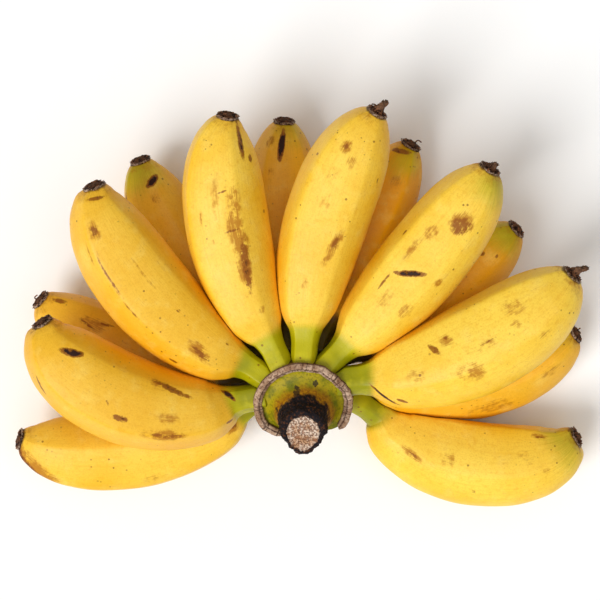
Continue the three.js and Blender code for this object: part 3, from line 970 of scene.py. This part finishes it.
# %% The crown's finish
def make_crown_finish():
    material, tree, shader, place = new_finish("crown tissue", IOR=1.4, Specular_IOR_Level=0.3)
    level = field(tree, "level")
    broad = noise_value(tree, place, 160, 3, 0.55, 1.0)
    fine = noise_value(tree, place, 900, 4, 0.65, 2.0)
    wander = wavering(tree, wavering(tree, level, broad, 2.2), fine, 0.9)

    green = mix_colour(tree, ease(tree, broad, 0.38, 0.6), colour(112, 112, 2), colour(168, 150, 6))
    green = mix_colour(tree, ease(tree, fine, 0.5, 0.66, 0, 0.6), green, colour(84, 84, 2))
    # Painted shade: the crown's side below the dish, under and between the stalks, is dark brown.
    under = mix_colour(tree, ease(tree, fine, 0.35, 0.65), colour(52, 34, 14), colour(98, 74, 28))
    tissue = mix_colour(tree, ease(tree, wander, DISH - 2, DISH + 0.5), under, green)
    halo = mix_colour(tree, ease(tree, fine, 0.35, 0.7), colour(184, 128, 14), colour(136, 82, 14))
    tissue = mix_colour(tree, ease(tree, wander, HALO - 0.3, HALO + 1.1), tissue, halo)
    char = mix_colour(tree, ease(tree, fine, 0.5, 0.66), colour(24, 20, 24), colour(96, 56, 30))
    charred = ease(tree, wander, CHAR - 0.25, CHAR + 0.25)
    tissue = mix_colour(tree, charred, tissue, char)

    cells = add(tree, "ShaderNodeTexVoronoi", feature="F1")
    feed(tree, cells.inputs["Vector"], place)
    cells.inputs["Scale"].default_value = 1150
    pore = ease(tree, cells.outputs["Distance"], 0.4, 0.8)
    stain = noise_value(tree, place, 300, 3, 0.6, 4.0)
    pale = mix_colour(tree, ease(tree, stain, 0.35, 0.6), colour(196, 150, 112), colour(232, 208, 186))
    pale = mix_colour(tree, calc(tree, "MULTIPLY", pore, 0.75), pale, colour(140, 82, 48))
    on_face = ease(tree, wavering(tree, level, fine, 1.2), FACE - 0.15, FACE + 0.25)
    tissue = mix_colour(tree, on_face, tissue, pale)

    nicks = ease(tree, tear(tree, field(tree, "nick"), (fine, broad), 0.4, 1.6), 0.55, 0.8)
    nicks = calc(tree, "MAXIMUM", nicks, specks(tree, place, 4.5 * MM, 0.4 * MM, 0.35, 5.0))
    tissue = mix_colour(tree, calc(tree, "MULTIPLY", nicks, 0.85), tissue, colour(38, 30, 20))
    feed(tree, shader.inputs["Base Color"], tissue)
    rough_share = calc(tree, "MAXIMUM", charred, on_face)
    feed(tree, shader.inputs["Roughness"], ease(tree, rough_share, 0, 1, 0.5, 0.85))
    height = calc(tree, "SUBTRACT", fine, calc(tree, "MULTIPLY", pore, on_face))
    depth = ease(tree, rough_share, 0, 1, 0.35, 1.0)
    emboss(tree, shader, calc(tree, "MULTIPLY", height, depth), 0.6 * MM)
    return material


crown_mesh.materials.append(make_crown_finish())
crown_piece = new_piece("crown_flesh", crown_mesh)
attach(crown_piece, "root")
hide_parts("crown")
print("crown:", [round(v, 4) for v in crown_piece.dimensions])

# %% [markdown]
# ## The bract scar
# A corky band, the scar of the leaf that covered the hand, runs most of the way round the
# crown's face. It is a sweep along an arc: two soft lobes with a groove between them, crossed
# by fine cracks. Again a cylinder is bent by Geometry Nodes, with the cracks as a rule of the
# distance along.

# %% The shape tree of the scar
def ridge_between(tree, value, middle, half_width):
    """1 at the middle, falling to 0 at half_width from it."""
    return ease(tree, calc(tree, "ABSOLUTE", calc(tree, "SUBTRACT", value, middle)), half_width, 0.0)


def scar_tree():
    numbers = ("Height", "Groove", "Cracks", "Crack Depth", "Roughness", "Seed")
    inputs = {"Rings": "Int", "Facets": "Int", **dict.fromkeys(numbers, "Float")}
    tree, given = shape_tree("corky band", {**inputs, "Up": "Vector", "Finish": "Material"})
    tube, (across, high, along), half_width, place, ahead = swept_tube(tree, given)
    inward = vector_calc(tree, "CROSS_PRODUCT", ahead, given["Up"])

    groove = calc(tree, "MULTIPLY", ridge_between(tree, across, 0.3, 0.3), given["Groove"])
    groove = calc(tree, "MULTIPLY", groove, ease(tree, high, 0.1, 0.6))
    jitter = noise_value(tree, place, 300, 2, 0.5, given["Seed"])
    turns = calc(tree, "MULTIPLY_ADD", jitter, 5.0, calc(tree, "MULTIPLY", along, given["Cracks"]))
    crack = ridge_between(tree, calc(tree, "FRACT", turns), 0.5, 0.12)
    depth = noise_value(tree, place, 300, 1, 0.5, 8.0)
    crack = calc(tree, "MULTIPLY", crack, ease(tree, depth, 0.48, 0.64, 0.08, 1.0))
    bark = calc(tree, "SUBTRACT", noise_value(tree, place, 1100, 3, 0.6, given["Seed"]), 0.5)
    loss = calc(tree, "MULTIPLY_ADD", crack, given["Crack Depth"], groove)
    swell = calc(tree, "MULTIPLY_ADD", bark, given["Roughness"], calc(tree, "SUBTRACT", 1.0, loss))

    out_in = scaled(tree, inward, calc(tree, "MULTIPLY", across, half_width))
    rise = calc(tree, "MULTIPLY", calc(tree, "MULTIPLY", high, given["Height"]), swell)
    out = vector_calc(tree, "ADD", out_in, scaled(tree, given["Up"], rise))
    band = store(tree, tube, "across", across)
    band = store(tree, band, "crack", calc(tree, "MAXIMUM", crack, calc(tree, "MULTIPLY", groove, 2.5)))
    band = moved(tree, band, vector_calc(tree, "ADD", place, out))
    end_shape(tree, band, given["Finish"])
    return tree


# %% [markdown]
# Cork is pale and dry on its crests and brown in its cracks, with fine lines that run along it.

# %% The cork finish
def make_cork():
    material, tree, shader, place = new_finish("scar cork", IOR=1.4, Specular_IOR_Level=0.3)
    fine = noise_value(tree, place, 1000, 5, 0.7, 1.0)
    broad = noise_value(tree, place, 260, 2, 0.5, 2.0)
    dry = mix_colour(tree, ease(tree, broad, 0.35, 0.65), colour(158, 122, 94), colour(204, 174, 148))
    dry = mix_colour(tree, ease(tree, fine, 0.48, 0.6, 0, 0.85), dry, colour(96, 62, 42))
    dark = wavering(tree, field(tree, "crack"), fine, 0.7)
    dry = mix_colour(tree, ease(tree, dark, 0.2, 0.8, 0, 0.9), dry, colour(58, 34, 24))
    edge = ease(tree, calc(tree, "ABSOLUTE", field(tree, "across")), 0.86, 1.0, 0, 0.8)
    dry = mix_colour(tree, edge, dry, colour(84, 56, 34))
    feed(tree, shader.inputs["Base Color"], dry)
    shader.inputs["Roughness"].default_value = 0.8
    emboss(tree, shader, calc(tree, "SUBTRACT", fine, dark), 0.6 * MM)
    return material


cork = make_cork()
print("cork nodes:", len(cork.node_tree.nodes))

# %% [markdown]
# The scar's path is an arc of the crown's face. It wavers a little, comes closer to the middle
# at both ends, and the band narrows to a point there.

# %% Sweep the scar
SCAR_FROM, SCAR_TO, SCAR_RADIUS = -147, 128, 19.1  # headings and radius of the arc's middle
SCAR_POINTS = 140
SCAR_HALF_WIDTH = 1.95 * MM
share = np.linspace(0, 1, SCAR_POINTS)
arc = direction(SCAR_FROM + (SCAR_TO - SCAR_FROM) * share, 0)
drawn_in = 0.1 * smooth_step(share, 0.12, 0) + 0.03 * smooth_step(share, 0.93, 1)
arc_radius = SCAR_RADIUS * (1 - drawn_in)
arc = arc * arc_radius[:, None] + np.array((0, 0, 0.5))
arc += rough(arc, 0.12, 2.0, 3)[:, None] * np.array((0.7, 0.7, 0.3))
half_widths = SCAR_HALF_WIDTH * np.sqrt(np.clip(np.minimum(share, 1 - share) / 0.02, 0.03, 1))
scar = shaped(
    "bract_scar",
    line_of("bract_scar", on_crown(arc), half_widths),
    scar_tree(),
    {
        "Rings": 520,
        "Facets": 28,
        "Height": 1.7 * MM,
        "Groove": 0.34,
        "Cracks": 40.0,
        "Crack Depth": 0.26,
        "Roughness": 0.9,
        "Seed": 4.0,
        "Up": tuple(TILTED @ Vector((0, 0, 1))),
        "Finish": cork,
    },
)
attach(scar, "root")
print("scar:", [round(v, 4) for v in scar.dimensions])

# %% [markdown]
# ## The dried flower ends
# Each tip ends in what is left of its flower: a grey-brown collar, a dark pit and often a
# withered style with a few threads. All fourteen follow one rule with other sizes and seeds,
# so one tree makes them. Two float curves turn a cylinder into the collar, the pit and the
# style, and threads are curves scattered in the pit.

# %% The shape tree of a flower end
FLOWER_RADIUS = (
    (0, 0), (0.1, 1.08), (0.2, 1.02), (0.3, 0.9), (0.38, 0.78), (0.46, 0.66), (0.54, 0.58),
    (0.6, 0.56), (0.68, 0.46), (0.82, 0.32), (0.95, 0.24), (1, 0),
)  # fmt: skip
FLOWER_HEIGHT = (
    (0, 0), (0.1, 0.1), (0.2, 0.34), (0.3, 0.5), (0.38, 0.56), (0.46, 0.42), (0.54, 0.32),
    (0.6, 0.4), (1, 0.4),
)  # fmt: skip
FLOWER_RINGS, FLOWER_FACETS = 64, 40
STYLE_FROM = 0.6  # the share of the rings where the style begins
THREAD = {"Start": (0, 0, 0), "Middle": (0.4, 0, 2.6), "End": (2.6, 0.6, 1.2)}  # millimetres
THREAD_RADIUS = 0.28 * MM


def drawn(tree, seed, low, high):
    """A vector drawn at random between two others, for each point."""
    node = add(tree, "FunctionNodeRandomValue", data_type="FLOAT_VECTOR")
    node.inputs[0].default_value = low
    node.inputs[1].default_value = high
    feed(tree, node.inputs["Seed"], seed)
    return node.outputs[0]


def float_curve(tree, value, points):
    node = add(tree, "ShaderNodeFloatCurve")
    feed(tree, node.inputs["Value"], value)
    curve = node.mapping.curves[0]
    for at, level in points[1:-1]:
        curve.points.new(at, level)
    for point, (at, level) in zip(curve.points, points):
        point.location = (at, level)
    node.mapping.update()
    return node.outputs[0]


def flower_tree():
    inputs = dict.fromkeys(("Radius", "Height", "Style"), "Float")
    inputs |= {"Lean": "Vector", "Threads": "Int", "Seed": "Int", "Finish": "Material"}
    tree, given = shape_tree("dried flower", inputs)
    body = add(tree, "GeometryNodeMeshCylinder", fill_type="TRIANGLE_FAN")
    body.inputs["Vertices"].default_value = FLOWER_FACETS
    body.inputs["Side Segments"].default_value = FLOWER_RINGS
    body.inputs["Depth"].default_value = 1.0
    x, y, level = split(tree, add(tree, "GeometryNodeInputPosition").outputs[0])
    up_share = calc(tree, "ADD", level, 0.5, clamp=True)
    round_it = combined(tree, x, y, calc(tree, "MULTIPLY", up_share, 6.0))
    ragged = noise_value(tree, round_it, 2.6, 5, 0.8, given["Seed"])
    ragged = wavering(tree, 1.0, ragged, 1.7)
    reach = calc(tree, "MULTIPLY", float_curve(tree, up_share, FLOWER_RADIUS), given["Radius"])
    reach = calc(tree, "MULTIPLY", reach, ragged)
    rise = calc(tree, "MULTIPLY", float_curve(tree, up_share, FLOWER_HEIGHT), given["Height"])
    rise = calc(tree, "MULTIPLY", rise, ragged)
    above = calc(tree, "SUBTRACT", up_share, STYLE_FROM)
    on_style = calc(tree, "DIVIDE", above, 1 - STYLE_FROM, clamp=True)
    rise = calc(tree, "MULTIPLY_ADD", calc(tree, "MULTIPLY", on_style, ragged), given["Style"], rise)
    spot = combined(tree, calc(tree, "MULTIPLY", x, reach), calc(tree, "MULTIPLY", y, reach), rise)
    bend = calc(tree, "MULTIPLY", calc(tree, "MULTIPLY", on_style, on_style), given["Style"])
    place = vector_calc(tree, "ADD", spot, scaled(tree, given["Lean"], bend))
    marked = store(tree, body.outputs["Mesh"], "rise", up_share)
    flower = moved(tree, marked, place)

    dots = add(tree, "GeometryNodePoints")
    feed(tree, dots.inputs["Count"], given["Threads"])
    spread = drawn(tree, given["Seed"], (-0.6, -0.6, 0.2), (0.6, 0.6, 0.25))
    feed(tree, dots.inputs["Position"], scaled(tree, spread, given["Radius"]))
    thread = add(tree, "GeometryNodeCurveQuadraticBezier")
    thread.inputs["Resolution"].default_value = 10
    for label, point in THREAD.items():
        thread.inputs[label].default_value = [value * MM for value in point]
    strewn = add(tree, "GeometryNodeInstanceOnPoints")
    feed(tree, strewn.inputs["Points"], dots.outputs[0])
    feed(tree, strewn.inputs["Instance"], thread.outputs[0])
    turn = drawn(tree, given["Seed"], (-0.5, -0.5, 0), (0.5, 0.5, 2 * math.pi))
    feed(tree, strewn.inputs["Rotation"], turn)
    longer = add(tree, "FunctionNodeRandomValue", data_type="FLOAT")
    longer.inputs[2].default_value = 0.5
    longer.inputs[3].default_value = 1.5
    feed(tree, longer.inputs["Seed"], given["Seed"])
    feed(tree, strewn.inputs["Scale"], longer.outputs[1])
    real = add(tree, "GeometryNodeRealizeInstances")
    feed(tree, real.inputs[0], strewn.outputs[0])
    section = add(tree, "GeometryNodeCurvePrimitiveCircle")
    section.inputs["Resolution"].default_value = 7
    section.inputs["Radius"].default_value = THREAD_RADIUS
    swept = add(tree, "GeometryNodeCurveToMesh")
    feed(tree, swept.inputs["Curve"], real.outputs[0])
    feed(tree, swept.inputs["Profile Curve"], section.outputs[0])
    swept.inputs["Fill Caps"].default_value = True

    joined = add(tree, "GeometryNodeJoinGeometry")
    tree.links.new(swept.outputs[0], joined.inputs[0])
    tree.links.new(flower, joined.inputs[0])
    end_shape(tree, joined.outputs[0], given["Finish"])
    return tree


# %% [markdown]
# Dead flower tissue is matt: a grey-brown rim that catches the light, and almost black folds.

# %% The dried flower finish
def make_withered():
    material, tree, shader, place = new_finish(
        "withered flower", Roughness=0.85, IOR=1.4, Specular_IOR_Level=0.2
    )
    fine = noise_value(tree, place, 700, 5, 0.8, 1.0)
    rise = field(tree, "rise")
    rim = ridge_between(tree, rise, 0.2, 0.17)
    base = mix_colour(tree, ease(tree, fine, 0.45, 0.58), colour(40, 20, 14), colour(148, 96, 62))
    rim = calc(tree, "MULTIPLY", rim, ease(tree, fine, 0.46, 0.56, 0.05, 1.0))
    base = mix_colour(tree, rim, base, colour(206, 178, 152))
    style = ease(tree, rise, 0.62, 0.8)
    base = mix_colour(tree, calc(tree, "MULTIPLY", style, 0.6), base, colour(116, 88, 68))
    pit = ridge_between(tree, rise, 0.5, 0.1)
    base = mix_colour(tree, calc(tree, "MULTIPLY", pit, 0.75), base, colour(38, 24, 18))
    feed(tree, shader.inputs["Base Color"], base)
    emboss(tree, shader, fine, 0.4 * MM)
    return material


withered = make_withered()
flower_shape = flower_tree()
# The style's length in millimetres, the side it leans to, and how many threads are left.
FLOWERS = {
    "upper_1": (0.6, (0, 0), 0), "upper_2": (0.5, (0, 0), 0), "upper_3": (0.5, (0, 0), 1),
    "upper_4": (6, (0.3, 0.2), 2), "upper_5": (3, (0.5, 0), 3), "upper_6": (6, (0.5, 0.1), 0),
    "lower_1": (0.8, (0, 0), 0), "lower_2": (0.8, (0, 0), 1), "lower_3": (1, (0, 0), 1),
    "lower_4": (0.8, (0, 0), 0), "lower_5": (1.5, (0.4, 0), 3), "lower_6": (1.5, (0, 0), 1),
    "lower_7": (1.5, (0.3, 0), 4), "lower_8": (1.5, (0.2, 0), 2),
}  # fmt: skip
SUNK = 0.8 * MM  # how far the collar's foot is sunk in the tip
for number, (name, (style, lean, threads)) in enumerate(FLOWERS.items()):
    spine = FINGERS[name]["spine"]
    flower = shaped(
        "dried_flower_" + name,
        bpy.data.meshes.new("empty"),
        flower_shape,
        {
            "Radius": 4.3 * MM,
            "Height": 2.2 * MM,
            "Style": style * MM,
            "Lean": (*lean, 0.0),
            "Threads": threads,
            "Seed": number + 3,
            "Finish": withered,
        },
    )
    side, up, along, end = (Vector(spine[key][-1]) for key in ("side", "up", "along", "place"))
    tip = Matrix((side, up, along)).transposed().to_4x4()
    tip.translation = end - along * SUNK
    flower.data.transform(tip)
    flower.data.flip_normals()  # these axes are left-handed, so the faces are turned back
    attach(flower, "root")
    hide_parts("blossom_" + name)
print(len(FLOWERS), "flower ends, first one:", [round(v, 4) for v in flower.dimensions])

# %% [markdown]
# ## Stage, light and camera
# The hand lies on a plain pale floor. Fruit looks waxy only under large, soft lamps. Distant
# ones light the floor evenly: one from the crown's side makes the fingers' flanks read, another
# overhead fills the gaps, and a pale sky keeps the shadows open.

# %% Floor and lamps
floor_mesh = bpy.data.meshes.new("floor")
FLOOR_HALF = 3.0
corners = [(x * FLOOR_HALF, y * FLOOR_HALF, 0) for x, y in ((-1, -1), (1, -1), (1, 1), (-1, 1))]
floor_mesh.from_pydata(corners, [], [(0, 1, 2, 3)])
floor_finish, floor_tree, floor_shader, _ = new_finish("pale floor", Roughness=0.9)
floor_shader.inputs["Base Color"].default_value = colour(253, 253, 252)
floor_mesh.materials.append(floor_finish)
floor = new_piece("floor", floor_mesh)


def soft_sun(name, heading, height, strength, softness):
    """Light from a heading and a height, in degrees. softness is how wide its source looks."""
    light = bpy.data.lights.new(name, "SUN")
    light.energy = strength
    light.angle = math.radians(softness)
    source = Vector(direction(heading, height))
    placed(name, light).rotation_euler = source.to_track_quat("Z", "Y").to_euler()


SKY_STRENGTH = 0.28
soft_sun("key", -132, 50, 2.2, 30)
soft_sun("overhead", 150, 75, 0.8, 60)
world = bpy.data.worlds.new("pale sky")
world.use_nodes = True
sky = world.node_tree.nodes["Background"]
sky.inputs["Color"].default_value = (1, 1, 1, 1)
sky.inputs["Strength"].default_value = SKY_STRENGTH
bpy.context.scene.world = world
bpy.context.scene.view_settings.view_transform = "Standard"
print("two soft lamps and a pale sky")

# %% [markdown]
# The camera looks straight down on the hand from three quarters of a metre, so the fingers that
# lie lower look a little smaller. Its lens follows from the width that it has to take in.

# %% Camera
VIEW_WIDTH = 0.252  # metres across the frame at the scar's level
VIEW_HEIGHT = 0.75  # metres from the scar's level up to the camera
VIEW_MIDDLE = Vector((-1.3 * MM, 44.1 * MM, 0))  # from the scar's middle
camera_data = bpy.data.cameras.new("camera")
camera_data.lens = camera_data.sensor_width * VIEW_HEIGHT / VIEW_WIDTH
camera = placed("camera", camera_data)
camera.location = scar_middle + VIEW_MIDDLE + Vector((0, 0, VIEW_HEIGHT))
bpy.context.scene.camera = camera
print("lens:", round(camera_data.lens, 1), "mm")
